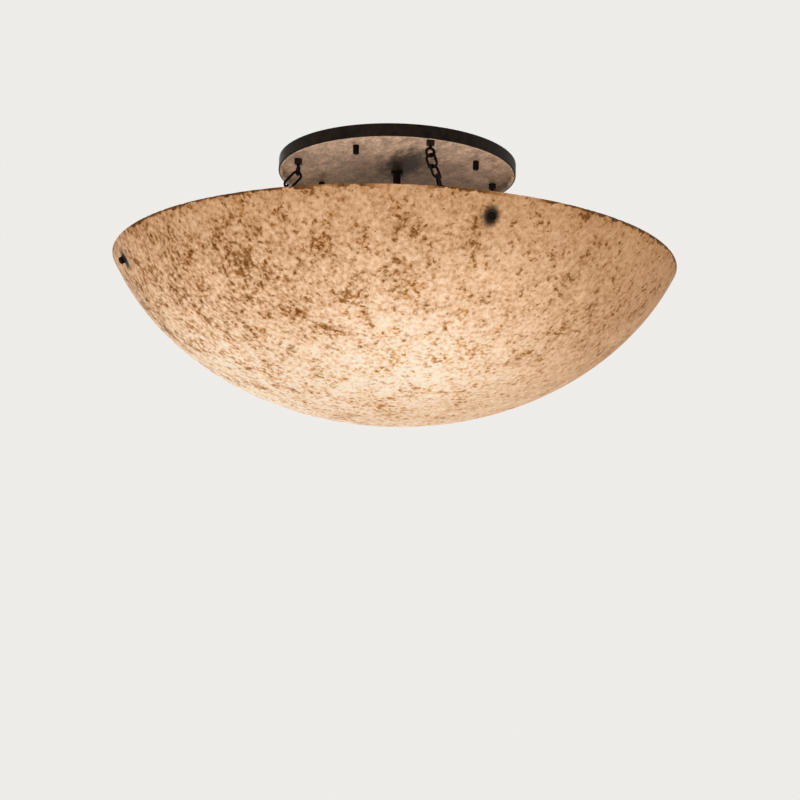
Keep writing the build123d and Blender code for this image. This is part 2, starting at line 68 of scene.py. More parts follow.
rim_z = high("glass_bowl").z
bowl_bottom = low("glass_bowl").z
bowl_radius = high("glass_bowl").x
pan_radius = high("ceiling_pan").x
pan_recess = 0.0055
pan_disc_z = low("ceiling_pan").z + pan_recess
lamp_z = (low("bulb_glass_right").z + high("bulb_glass_right").z) / 2
globe_radius = tallness("bulb_glass_right") / 2
globe_middle_r = high("bulb_glass_right").x - globe_radius

# The wall of the bowl follows an ellipse whose centre stands above the rim.
curve_rise = 0.118
bowl_wall = 0.005
rim_round = 0.0014
curve_z = rim_z + curve_rise
curve_tall = curve_z - bowl_bottom
curve_wide = bowl_radius / sqrt(1 - (curve_rise / curve_tall) ** 2)


def outer_radius(z):
    """The radius of the bowl's outer face at a height."""
    return curve_wide * sqrt(1 - ((z - curve_z) / curve_tall) ** 2)


def round_axis(radius, azimuth, z):
    """The place at this distance from the light's axis, with the azimuth in degrees."""
    turn = radians(azimuth)
    return radius * cos(turn), radius * sin(turn), z


# Each bowl bolt stands square to the wall.
bolt_below_rim = 0.023
bolt_z = rim_z - bolt_below_rim
bolt_r = outer_radius(bolt_z)
bolt_lean = atan2((curve_z - bolt_z) / curve_tall**2, bolt_r / curve_wide**2)


# Sizes that the frame's boxes don't give.
bowl_hole = 0.0072
bowl_nut_outer = 0.0088
bowl_nut_bore = 0.00612
bowl_nut_face = 0.0012
bowl_nut_end = 0.0068
canopy_nut_bore = 0.00492
knob_wall = 0.0016
stem_bore = 0.0065
stem_pitch = 0.00094
stem_thread = 0.00055
lamp_pitch = 0.00363
socket_well = 0.030
nipple_hole = 0.0098
nipple_depth = 0.010
wire_hole = 0.0046
shell_gap = 0.0006
shell_wall = 0.0005
shell_length = 0.026
shell_hole = 0.012
shell_thread = 0.0004
cap_wall = 0.0005
cap_thread = 0.0009
fitting_gap = 0.00005


# ------------------------------------------------------------------ shader helpers
class Nodes:
    """Builds one material's node tree with short calls."""

    def __init__(self, name):
        self.material = bpy.data.materials.new(name)
        self.material.use_nodes = True
        self.tree = self.material.node_tree
        self.shader = self.tree.nodes["Principled BSDF"]
        self.place = self.add("ShaderNodeTexCoord").outputs["Object"]

    def add(self, kind, **settings):
        node = self.tree.nodes.new(kind)
        for key, value in settings.items():
            setattr(node, key, value)
        return node

    def put(self, value, socket):
        """Link a socket's value, or set a plain one."""
        if isinstance(value, bpy.types.NodeSocket):
            self.tree.links.new(value, socket)
        elif socket.type == "RGBA" and len(value) == 3:
            socket.default_value = (*value, 1.0)
        else:
            socket.default_value = value

    def set(self, **values):
        """Set the shader's sockets by name, with _ for a space."""
        for key, value in values.items():
            self.put(value, self.shader.inputs[key.replace("_", " ")])

    def math(self, operation, a, b=0.0, c=0.0):
        node = self.add("ShaderNodeMath", operation=operation)
        for value, socket in zip((a, b, c), node.inputs):
            self.put(value, socket)
        return node.outputs[0]

    def fold(self, operation, values):
        """All the values, taken together one after the other by the same operation."""
        total, *others = values
        for value in others:
            total = self.math(operation, total, value)
        return total

    def sway(self, value, pattern, amount):
        """The value moved up and down by a pattern that runs round 0.5."""
        return self.math("MULTIPLY_ADD", self.math("SUBTRACT", pattern, 0.5), amount, value)

    def dim(self, value, where, share):
        """The value, less this share of it where the mask is 1."""
        return self.math("MULTIPLY", value, self.math("MULTIPLY_ADD", where, -share, 1.0))

    def vector(self, operation, a, b=(0.0, 0.0, 0.0)):
        node = self.add("ShaderNodeVectorMath", operation=operation)
        self.put(a, node.inputs[0])
        self.put(b, node.inputs["Scale" if operation == "SCALE" else 1])
        return node.outputs["Value" if operation in ("LENGTH", "DISTANCE") else "Vector"]

    def split(self, vector):
        return self.add_linked("ShaderNodeSeparateXYZ", vector).outputs

    def add_linked(self, kind, value):
        node = self.add(kind)
        self.put(value, node.inputs[0])
        return node

    def noise(self, scale, detail=3.0, roughness=0.5, place=None, distortion=0.0):
        node = self.add("ShaderNodeTexNoise")
        self.put(place or self.place, node.inputs["Vector"])
        self.put(scale, node.inputs["Scale"])
        self.put(detail, node.inputs["Detail"])
        self.put(roughness, node.inputs["Roughness"])
        self.put(distortion, node.inputs["Distortion"])
        return node.outputs["Fac"]

    def ramp(self, value, *stops):
        """A colour ramp with (position, colour or grey) stops."""
        node = self.add_linked("ShaderNodeValToRGB", value)
        elements = node.color_ramp.elements
        while len(elements) < len(stops):
            elements.new(1.0)
        for element, (position, colour) in zip(elements, stops):
            element.position = position
            grey = isinstance(colour, (int, float))
            element.color = (colour, colour, colour, 1) if grey else (*colour, 1)
        return node.outputs["Color"]

    def step(self, value, start, end):
        """A smooth step from 0 at start to 1 at end."""
        node = self.add("ShaderNodeMapRange", interpolation_type="SMOOTHSTEP")
        for number, item in enumerate((value, start, end, 0.0, 1.0)):
            self.put(item, node.inputs[number])
        return node.outputs[0]

    def mix(self, share, first, second, blend="MIX", clamp=False):
        node = self.add("ShaderNodeMix", data_type="RGBA", blend_type=blend, clamp_result=clamp)
        self.put(share, node.inputs[0])
        self.put(first, node.inputs[6])
        self.put(second, node.inputs[7])
        return node.outputs[2]

    def bump(self, height, strength, distance):
        node = self.add("ShaderNodeBump")
        self.put(strength, node.inputs["Strength"])
        self.put(distance, node.inputs["Distance"])
        self.put(height, node.inputs["Height"])
        self.put(node.outputs["Normal"], self.shader.inputs["Normal"])

    def grained_bump(self, coarse, fine, strength, distance):
        """A bump that is mostly one pattern and partly a finer one."""
        parts = [self.math("MULTIPLY", coarse, 0.7), self.math("MULTIPLY", fine, 0.3)]
        self.bump(self.fold("ADD", parts), strength, distance)


# ------------------------------------------------------------------- art glass
# Where round the axis the bulbs' painted light falls on the wall, in degrees, and how strongly.
BULB_LIGHT = [(0, 0.12), (50, 0.60), (100, 1.00), (180, 1.08), (263, 1.34)]

# Patches that are partly frit lying thicker or thinner and partly painted shade and light:
# azimuth in degrees, height below the rim and reach in metres, and how much darker it is there,
# or brighter where that is under 0.
FRIT_AND_LIGHT_PATCHES = [
    (-140, 0.066, 0.040, 0.34), (-158, 0.055, 0.034, 0.24), (-122, 0.052, 0.034, 0.20),
    (-104, 0.040, 0.036, 0.14), (-118, 0.106, 0.040, 0.18), (-124, 0.131, 0.036, 0.16),
    (-137, 0.167, 0.030, 0.14), (-58, 0.111, 0.032, 0.18), (-68, 0.152, 0.024, 0.20),
    (-144, 0.037, 0.030, 0.18), (-35, 0.060, 0.040, 0.14), (14, 0.080, 0.042, 0.24),
    (38, 0.050, 0.036, 0.20), (72, 0.110, 0.044, 0.24), (101, 0.060, 0.040, 0.26),
    (133, 0.090, 0.040, 0.20), (160, 0.045, 0.034, 0.22), (176, 0.125, 0.036, 0.16),
    (-78, 0.081, 0.036, 0.10), (-118, 0.080, 0.030, 0.08), (-125, 0.160, 0.030, 0.08),
    (-131, 0.032, 0.030, -0.18), (-115, 0.026, 0.036, -0.13), (-96, 0.055, 0.028, -0.15),
    (-90, 0.121, 0.034, -0.18), (-151, 0.112, 0.030, -0.12), (-129, 0.120, 0.030, -0.12),
    (-35, 0.139, 0.044, -0.20), (-22, 0.172, 0.040, -0.20), (-69, 0.074, 0.030, 0.10),
    (-174, 0.036, 0.034, 0.24), (-112, 0.162, 0.030, 0.08),
]

# The glass's colour from unlit to fully lit: position on the ramp and colour.
GLASS_TONES = [
    (0.0, (0.0, 0.0, 0.0)), (0.09, (0.190, 0.070, 0.012)), (0.21, (0.385, 0.184, 0.070)),
    (0.39, (0.608, 0.350, 0.184)), (0.57, (0.818, 0.517, 0.308)),
    (0.75, (0.962, 0.695, 0.474)), (0.90, (0.985, 0.840, 0.640)),
]
GOLDEN_TINT = (1.0, 0.84, 0.50)
# The colour of the tabs' painted shadow on the glass.
TAB_SHADOW_COLOUR = (0.006, 0.004, 0.002)


def bulb_glow(m):
    """The painted light that the bulbs lay on the wall, brightest beside and under them."""
    source_r = globe_middle_r + 0.022
    source_z = lamp_z + 0.011
    brightness, softness, bounce = 0.0077, 0.0027, 0.07
    shares = []
    for azimuth, strength in BULB_LIGHT:
        away = m.vector("DISTANCE", m.place, round_axis(source_r, azimuth, source_z))
        squared = m.math("MULTIPLY_ADD", away, away, softness)
        shares.append(m.math("DIVIDE", brightness * strength, squared))
    return m.math("ADD", m.fold("ADD", shares), bounce)


def frit_and_light_patches(m):
    """How much darker the glass is than elsewhere, from thicker frit and painted shade, or
    brighter where it is under 0, from thinner frit and painted light.
    """
    patches = []
    for azimuth, below, reach, amount in FRIT_AND_LIGHT_PATCHES:
        z = rim_z - below
        spot = round_axis(outer_radius(z), azimuth, z)
        near = m.step(m.vector("DISTANCE", m.place, spot), reach, 0.0)
        patches.append(m.math("MULTIPLY", near, amount))
    return m.fold("ADD", patches)


def frit_clearness(m, flecks, grain):
    """How much light the frit lets through, about 1 on average."""
    clear = m.math("MULTIPLY_ADD", flecks, 2.6, -1.3)
    lumps, patches, clusters = m.noise(95.0, 2.0), m.noise(45.0, 2.0), m.noise(15.0, 1.0)
    for pattern, amount in ((grain, 0.8), (lumps, 1.1), (patches, 1.2), (clusters, 0.9)):
        clear = m.sway(clear, pattern, amount)

    # The pattern is strongest on the left and at the back, and fainter toward the rim.
    across, back, up = m.split(m.place)
    contrast = m.math("MULTIPLY_ADD", across, -1.35, 0.88)
    contrast = m.math("MULTIPLY_ADD", m.step(back, -0.03, 0.10), 0.28, contrast)
    contrast = m.dim(contrast, m.step(up, rim_z - 0.085, rim_z - 0.01), 0.30)
    clear = m.math("MULTIPLY_ADD", clear, contrast, 1.05)

    # Dark specks lie closer together in the darker patches.
    patch_darkness = frit_and_light_patches(m)
    level = m.math("MULTIPLY_ADD", patch_darkness, 0.50, m.noise(150.0, 3.0, 0.62))
    level = m.sway(level, patches, -0.30)
    clear = m.dim(clear, m.step(level, 0.56, 0.67), 0.68)
    # The patches darken the glass, and brighten it where under 0: thicker and thinner frit, and
    # painted shade and light.
    clear = m.dim(clear, patch_darkness, 0.5)
    return m.math("MAXIMUM", clear, 0.12)


def tab_shadow(m):
    """A mask of the painted shadow that each arm's tab casts on the wall around its knob."""
    half_width, half_height, drop = 0.0096, 0.0110, 0.001
    x, y, z = m.split(m.place)
    aside = m.math("MINIMUM", m.math("ABSOLUTE", x), m.math("ABSOLUTE", y))
    aside = m.math("DIVIDE", aside, half_width)
    above = m.math("ABSOLUTE", m.math("SUBTRACT", z, bolt_z - drop))
    above = m.math("DIVIDE", above, half_height)
    squares = [m.math("MULTIPLY", item, item) for item in (aside, above)]
    return m.step(m.math("SQRT", m.fold("ADD", squares)), 1.40, 0.45)


def rim_dashes(m, z):
    """A mask of the dark ragged dashes along the rim."""
    down_to = m.math("MULTIPLY_ADD", m.noise(60.0, 4.0, 0.75), -0.016, rim_z + 0.0045)
    dashes = m.step(m.math("SUBTRACT", z, down_to), 0.0, 0.0012)
    return m.math("MULTIPLY", dashes, m.step(m.noise(9.0, 1.0), 0.36, 0.46))


def art_glass():
    """Cream frit glass with amber and brown flecks, with the light of four bulbs inside painted
    on: the base colour is the glass unlit, and the emission is the painted light.
    """
    m = Nodes("art_glass")
    z = m.split(m.place)[2]
    flecks = m.noise(190.0, 2.0, 0.55)
    grain = m.noise(520.0, 2.0)
    clear = m.dim(frit_clearness(m, flecks, grain), rim_dashes(m, z), 0.82)
    # Painted light: the bulbs' glow on the wall, a little dimmer near the rim.
    glow = m.dim(bulb_glow(m), m.step(z, rim_z - 0.020, rim_z), 0.15)
    # The tabs' painted shadow darkens both the unlit and the lit glass.
    tab_shadow_share = m.math("MULTIPLY", tab_shadow(m), 0.97)
    golden = m.math("MULTIPLY", m.step(m.noise(26.0, 3.0), 0.44, 0.64), m.step(clear, 0.90, 0.35))
    golden = m.math("MULTIPLY", golden, 0.75)

    def shade(exposure):
        """The glass's colour at this exposure, which levels off like a lit lamp's, darkened where
        the tabs' shadow is painted.
        """
        lost = m.math("EXPONENT", m.math("MULTIPLY", exposure, -1.0))
        tone = m.ramp(m.math("SUBTRACT", 1.0, lost), *GLASS_TONES)
        tone = m.mix(golden, tone, m.mix(1.0, tone, GOLDEN_TINT, "MULTIPLY"))
        return m.mix(tab_shadow_share, tone, TAB_SHADOW_COLOUR)

    unlit = shade(m.math("MULTIPLY", clear, 0.155))
    lit = shade(m.math("MULTIPLY", clear, glow))
    m.set(Base_Color=unlit, Roughness=m.ramp(grain, (0.2, 0.50), (0.8, 0.66)),
          Specular_IOR_Level=0.08, Sheen_Weight=0.04, Sheen_Roughness=0.45,
          Sheen_Tint=(1.0, 0.80, 0.58))
    m.set(Emission_Color=m.mix(1.0, lit, unlit, "SUBTRACT", clamp=True), Emission_Strength=1.0)
    m.bump(m.math("MULTIPLY_ADD", grain, 0.4, flecks), 0.30, 0.0006)
    return m.material


# ------------------------------------------------------------------ mesh helpers
def lathe(rows, segments, shape=None, looped=False):
    """Verts and faces of a turned form about Z. rows are (radius, along), up the outside first.
    A radius of 0 closes an end, and a looped form has a bore. shape(index, angle, radius,
    along) gives a vertex's own radius and height."""
    verts, rings = [], []
    for index, (radius, along) in enumerate(rows):
        if radius == 0:
            rings.append([len(verts)])
            verts.append(Vector((0, 0, along)))
            continue
        ring = []
        for segment in range(segments):
            angle = 2 * pi * segment / segments
            r, z = shape(index, angle, radius, along) if shape else (radius, along)
            ring.append(len(verts))
            verts.append(Vector((r * cos(angle), r * sin(angle), z)))
        rings.append(ring)
    faces = []
    if looped:
        rings.append(rings[0])
    for first, second in zip(rings, rings[1:]):
        for s in range(segments):
            t = (s + 1) % segments
            if len(first) == 1:
                faces.append((first[0], second[t], second[s]))
            elif len(second) == 1:
                faces.append((first[s], first[t], second[0]))
            else:
                faces.append((first[s], first[t], second[t], second[s]))
    return verts, faces


def joined(*forms):
    """Several (verts, faces) forms as one."""
    verts, faces = [], []
    for some_verts, some_faces in forms:
        start = len(verts)
        verts += some_verts
        faces += [tuple(start + corner for corner in face) for face in some_faces]
    return verts, faces


def placed(form, matrix):
    verts, faces = form
    return [matrix @ vert for vert in verts], faces


def mesh_of(name, form):
    verts, faces = form
    mesh = bpy.data.meshes.new(name)
    mesh.from_pydata([tuple(vert) for vert in verts], [], faces)
    return mesh


def in_scene(name, data):
    obj = bpy.data.objects.new(name, data)
    bpy.context.scene.collection.objects.link(obj)
    return obj


def piece(name, form, body, material, replaces=(), sharp=None):
    """A mesh object that rides on a body. Faces that meet at over sharp degrees keep an edge."""
    mesh = mesh_of(name, form)
    mesh.validate()
    mesh.materials.append(material)
    mesh.polygons.foreach_set("use_smooth", [True] * len(mesh.polygons))
    if sharp is not None:
        mesh.set_sharp_from_angle(angle=radians(sharp))
    obj = in_scene(name, mesh)
    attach(obj, body)
    if replaces:
        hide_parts(*replaces)
    return obj


def side_turn(angle):
    return Matrix.Rotation(radians(angle), 4, "Z")


def on_lamp_axis(angle):
    """From a form made along Z to one along a lamp's axis, from the light's axis outward."""
    return side_turn(angle) @ Matrix.Translation((0, 0, lamp_z)) @ Matrix.Rotation(pi / 2, 4, "Y")


def on_bolt(angle):
    """From a form made along Z to one along a bowl bolt, from the wall's outer face."""
    place = Matrix.Translation((bolt_r, 0, bolt_z))
    return side_turn(angle) @ place @ Matrix.Rotation(pi / 2 + bolt_lean, 4, "Y")


def spaced(radius, start, end, step):
    """Rows of one radius from start to end, about step apart."""
    count = max(1, round(abs(end - start) / step))
    return [(radius, start + (end - start) * row / count) for row in range(count + 1)]


def rounded(radius, end, bend):
    """Rows that round the edge between a side of this radius and the end face."""
    turns = [pi / 2 * step / 6 for step in range(7)]
    return [(radius - bend + bend * cos(turn), end - bend + bend * sin(turn)) for turn in turns]


def thread(depth, pitch, start, end, least=0.0):
    """A lathe shape with a rounded screw thread between two heights, on radii over least."""
    def shape(index, angle, radius, along):
        if radius < least or not start < along < end:
            return radius, along
        fade = min(1.0, (along - start) / pitch, (end - along) / pitch)
        return radius - depth * fade * (0.5 - 0.5 * cos(2 * pi * along / pitch - angle)), along
    return shape


def drill(obj, cutter_form):
    """Cut the closed cutter out of the object's mesh."""
    cutter = in_scene("cutter", mesh_of("cutter", cutter_form))
    cut = obj.modifiers.new("holes", "BOOLEAN")
    cut.operation = "DIFFERENCE"
    cut.solver = "MANIFOLD"
    cut.object = cutter
    result = obj.evaluated_get(bpy.context.evaluated_depsgraph_get())
    obj.data = bpy.data.meshes.new_from_object(result)
    obj.modifiers.clear()
    bpy.data.objects.remove(cutter)


# -------------------------------------------------------------------------- bowl
wall_rows_outer = 110
wall_rows_inner = 44
rim_rows = 8
bowl_segments = 480
rim_nibble = 0.0011
wall_dent = 0.00030


def bowl_profile():
    """The section from the bottom's middle out over the rim and back inside."""
    def wall(inset, rows):
        wide, tall = curve_wide - inset, curve_tall - inset
        start = asin((curve_rise + rim_round) / tall)
        turns = [start + (pi / 2 - start) * row / rows for row in range(rows)]
        return [(wide * cos(turn), curve_z - tall * sin(turn)) for turn in turns]

    outer = wall(0.0, wall_rows_outer)
    inner = wall(bowl_wall, wall_rows_inner)
    middle = (outer[0][0] + inner[0][0]) / 2
    half = (outer[0][0] - inner[0][0]) / 2
    rim = []
    for step in range(1, rim_rows):
        angle = pi * step / rim_rows
        bulge = rim_round * min(1.0, 1.6 * sin(angle))
        rim.append((middle + half * cos(angle), rim_z - rim_round + bulge))
    return [(0, bowl_bottom), *reversed(outer)], rim, [*inner, (0, bowl_bottom + bowl_wall)]


def build_bowl(material):
    """The bowl as one closed surface with a slightly uneven wall and a nibbled rim."""
    outer, rim, inner = bowl_profile()
    rim_first, rim_last = len(outer), len(outer) + len(rim)

    def shape(index, angle, radius, along):
        spot = Vector((radius * cos(angle), radius * sin(angle), along))
        if rim_first <= index < rim_last:
            return radius, along - rim_nibble * max(0.0, noise.noise(spot * 190.0) - 0.10)
        if index < rim_first:
            sink = wall_dent * (0.5 + 0.5 * noise.noise(spot * 140.0))
            return radius - sink, along + sink * 0.4
        return radius, along

    form = lathe(outer + rim + inner, bowl_segments, shape)
    bowl = piece("bowl", form, "fixture", material, ["glass_bowl"])
    deep = 3 * bowl_wall
    hole_r = bowl_hole / 2
    hole = lathe([(0, -deep), (hole_r, -deep), (hole_r, bowl_wall), (0, bowl_wall)], 32)
    drill(bowl, joined(*[placed(hole, on_bolt(angle)) for angle in SIDES.values()]))


# ------------------------------------------------------------------------- chains
link_length = 0.0298
link_width = 0.0138
link_wire = 0.0032
link_count = 7
link_pitch = link_length - 2 * link_wire - 0.00005
wire_segments = 12
weld_swell = 0.16
weld_half = 0.0016
# The first link's turn about the chain and the turn from each link to the next, in degrees.
# The front chain hangs twisted.
link_turns = {"right": (0, 90), "back": (0, 90), "left": (0, 90), "front": (-45, -60)}


def link_line():
    """Points along the middle of a link's wire, each as x, z and the outward direction."""
    bend = (link_width - link_wire) / 2
    straight = (link_length - link_width) / 2
    line = []
    for end in (1, -1):
        for step in range(13):
            angle = -end * pi / 2 + pi * step / 12
            line.append((end * straight + bend * cos(angle), bend * sin(angle),
                         cos(angle), sin(angle)))
        for step in range(1, 12):
            line.append((end * straight * (1 - step / 6), end * bend, 0.0, float(end)))
    return line


def chain_link():
    """An oval link along X in the XZ plane, with the bead of its weld on one side."""
    line = link_line()
    welded_side = max(z for x, z, nx, nz in line) * 0.9
    verts, faces = [], []
    for x, z, nx, nz in line:
        weld = weld_swell * max(0.0, 1 - (x / weld_half) ** 2) if z > welded_side else 0.0
        wire = link_wire / 2 * (1 + weld)
        for step in range(wire_segments):
            angle = 2 * pi * step / wire_segments
            verts.append(Vector((x + wire * cos(angle) * nx, wire * sin(angle),
                                 z + wire * cos(angle) * nz)))
    for row in range(len(line)):
        first = row * wire_segments
        after = (row + 1) % len(line) * wire_segments
        for s in range(wire_segments):
            t = (s + 1) % wire_segments
            faces.append((first + s, first + t, after + t, after + s))
    return verts, faces


def build_chains(material):
    """Each chain hangs taut from its upper eye down to the lower eye on the arm."""
    link = chain_link()
    run = (link_count - 1) * link_pitch
    for side, angle in SIDES.items():
        node = f"chain_{side}"
        middle = (low(node) + high(node)) / 2
        slope = asin((tallness(node) - link_width) / (run + link_length - link_width))
        first_turn, next_turn = link_turns[side]
        links = []
        for number in range(link_count):
            along = number * link_pitch - run / 2
            place = Matrix.Translation((hypot(middle.x, middle.y) + along * cos(slope), 0,
                                        middle.z - along * sin(slope)))
            roll = radians(first_turn + number * next_turn)
            tilt = Matrix.Rotation(slope, 4, "Y") @ Matrix.Rotation(roll, 4, "X")
            links.append(placed(link, side_turn(angle) @ place @ tilt))
        piece(f"links_{side}", joined(*links), "fixture", material, [node])


# ------------------------------------------------------------------- knob nuts
knob_chamfer = 0.0006
knurl_foot = 0.0009
knurl_fade = 0.0004
knurl_gap = 0.00105
knurl_depth = 0.00022
knurl_row = 0.00028


def knob(outer, bore, face, end):
    """A round cap nut with a knurled side, a chamfered foot and a domed end."""
    dome = outer * 0.20
    knurl_from, knurl_to = face + knurl_foot, end - dome - knurl_fade
    grooves = round(outer * pi / knurl_gap)
    lead = 2 * pi / (outer * pi / grooves)

    def shape(index, angle, radius, along):
        if radius < outer * 0.45 or not knurl_from < along < knurl_to:
            return radius, along
        fade = min(1.0, (along - knurl_from) / knurl_fade, (knurl_to - along) / knurl_fade)
        cross = max(cos(grooves * angle + lead * along), cos(grooves * angle - lead * along))
        return radius - knurl_depth * fade * max(0.0, cross), along

    rows = [(0, end - knob_wall), (bore / 2, end - knob_wall), (bore / 2, face),
            (outer / 2 - knob_chamfer, face), (outer / 2, face + knob_chamfer),
            *spaced(outer / 2, knurl_from, knurl_to, knurl_row),
            *rounded(outer / 2, end, dome), (0, end)]
    return lathe(rows, grooves * 5, shape)


def build_knobs(material):
    """The knobs outside the bowl and under the pan, each on a body of its own."""
    bowl_knob = knob(bowl_nut_outer, bowl_nut_bore, bowl_nut_face, bowl_nut_end)
    for side, angle in SIDES.items():
        node = f"bowl_nut_{side}"
        piece(f"bowl_knob_{side}", placed(bowl_knob, on_bolt(angle)), node,
              material, [node], sharp=50)
    for corner in CORNERS:
        node = f"canopy_nut_{corner}"
        lowest, highest = low(node), high(node)
        middle = (lowest + highest) / 2
        form = knob(highest.x - lowest.x, canopy_nut_bore, 0.0, highest.z - lowest.z)
        place = Matrix.Translation((middle.x, middle.y, highest.z)) @ Matrix.Rotation(pi, 4, "X")
        piece(f"canopy_knob_{corner}", placed(form, place), node,
              material, [node], sharp=50)


# -------------------------------------------------------------- stem and lamps
def build_stem(material):
    """The stem, threaded from end to end."""
    top, bottom = high("stem").z, low("stem").z
    rows = [(stem_bore / 2, bottom), *spaced(high("stem").x, bottom, top, stem_pitch / 4),
            (stem_bore / 2, top)]
    form = lathe(rows, 28, thread(stem_thread, stem_pitch, bottom, top, stem_bore), looped=True)
    piece("threaded_stem", form, "fixture", material, ["stem"])


def lampholder(well, floor):
    """A ceramic body round a well of this radius: a neck behind and grooves round its mouth."""
    back, mouth = low("socket_right").x, high("socket_right").x
    radius = tallness("socket_right") / 2
    neck = radius - 0.0035
    neck_chamfer, neck_end, shoulder = 0.0015, back + 0.008, back + 0.0125
    groove_first, groove_pitch, groove_depth = mouth - 0.0125, 0.0042, 0.0010
    outside = [(nipple_hole / 2, back), (neck - neck_chamfer, back), (neck, back + neck_chamfer),
               (neck, neck_end), (radius, shoulder), (radius, groove_first - 0.0010)]
    for groove in range(2):
        start = groove_first + groove * groove_pitch
        outside += [(radius, start), (radius - groove_depth, start + 0.0008),
                    (radius - groove_depth, start + 0.0018), (radius, start + 0.0026)]
    mouth_round, well_chamfer = 0.0020, 0.0008
    outside += rounded(radius, mouth, mouth_round)
    nipple_end = back + nipple_depth
    inside = [(well + well_chamfer, mouth), (well, mouth - well_chamfer), (well, floor),
              (wire_hole / 2, floor), (wire_hole / 2, nipple_end), (nipple_hole / 2, nipple_end)]
    return lathe(outside + inside, 64, looped=True)


def screw_shell(outer, start):
    """A shell of this radius, with a hole in its floor and the lamp thread in its wall."""
    end = start + shell_length
    floor = start + shell_wall
    rows = [(shell_hole / 2, start), *spaced(outer, start, end, lamp_pitch / 8),
            *spaced(outer - shell_wall, end, floor, lamp_pitch / 8), (shell_hole / 2, floor)]
    shape = thread(shell_thread, lamp_pitch, start + 0.003, end - 0.001, shell_hole)
    return lathe(rows, 64, shape, looped=True)


def build_lampholders(ceramic_material, brass_material):
    """The four ceramic lampholders, and their shells as one piece."""
    shell_outer = tallness("bulb_cap_right") / 2 + shell_gap + shell_wall
    floor = high("socket_right").x - socket_well
    body = lampholder(shell_outer + fitting_gap, floor)
    shell = screw_shell(shell_outer, floor + fitting_gap)
    for side, angle in SIDES.items():
        piece(f"lampholder_{side}", placed(body, on_lamp_axis(angle)), "fixture",
              ceramic_material, [f"socket_{side}"], sharp=40)
    shells = [placed(shell, on_lamp_axis(angle)) for angle in SIDES.values()]
    piece("threaded_shells", joined(*shells), "fixture", brass_material,
          ["screw_shells"], sharp=50)


def build_bulb_caps(material):
    """The screw caps of the bulbs: a rounded thread below a plain collar."""
    start, end = low("bulb_cap_right").x, high("bulb_cap_right").x
    radius = tallness("bulb_cap_right") / 2
    tip_chamfer, tip_wall, collar = 0.0016, 0.0018, 0.0065
    thread_from = start + 0.0020
    rows = [(0, start), (radius - tip_chamfer, start), (radius, start + tip_chamfer),
            *spaced(radius, thread_from, end, lamp_pitch / 8),
            *spaced(radius - cap_wall, end, thread_from, lamp_pitch / 8),
            (radius - tip_wall, start + cap_wall), (0, start + cap_wall)]
    cap = lathe(rows, 72, thread(cap_thread, lamp_pitch, thread_from, end - collar, radius * 0.9))
    for side, angle in SIDES.items():
        piece(f"threaded_cap_{side}", placed(cap, on_lamp_axis(angle)), f"bulb_{side}",
              material, [f"bulb_cap_{side}"], sharp=50)


# ----------------------------------------------------------------- metal finishes
def bronze(name, light, dark, metallic, specular):
    """Oil rubbed bronze or iron: an uneven patina with darker spots and a fine grain."""
    m = Nodes(name)
    patches = m.noise(30.0, 5.0, 0.62)
    spots = m.noise(110.0, 4.0, 0.6, distortion=0.6)
    colour = m.mix(m.step(patches, 0.34, 0.68), dark, light)
    colour = m.mix(m.math("MULTIPLY", m.step(spots, 0.50, 0.72), 0.55), colour, dark)
    m.set(Base_Color=colour, Metallic=metallic, Specular_IOR_Level=specular,
          Roughness=m.ramp(spots, (0.25, 0.40), (0.75, 0.60)))
    m.grained_bump(spots, m.noise(900.0, 2.0), 0.25, 0.0005)
    return m.material


# Painted light on the disc under the pan, from its shaded middle outward, as shares of the pan's
# radius and colours.
PAINTED_DISC_LIGHT = [
    (0.00, (0.190, 0.150, 0.122)), (0.22, (0.270, 0.213, 0.175)),
    (0.45, (0.520, 0.425, 0.355)), (0.90, (0.770, 0.665, 0.580)),
]
PAN_DARK = (0.0060, 0.0034, 0.0020)
PAN_LIGHT = (0.0145, 0.0086, 0.0053)


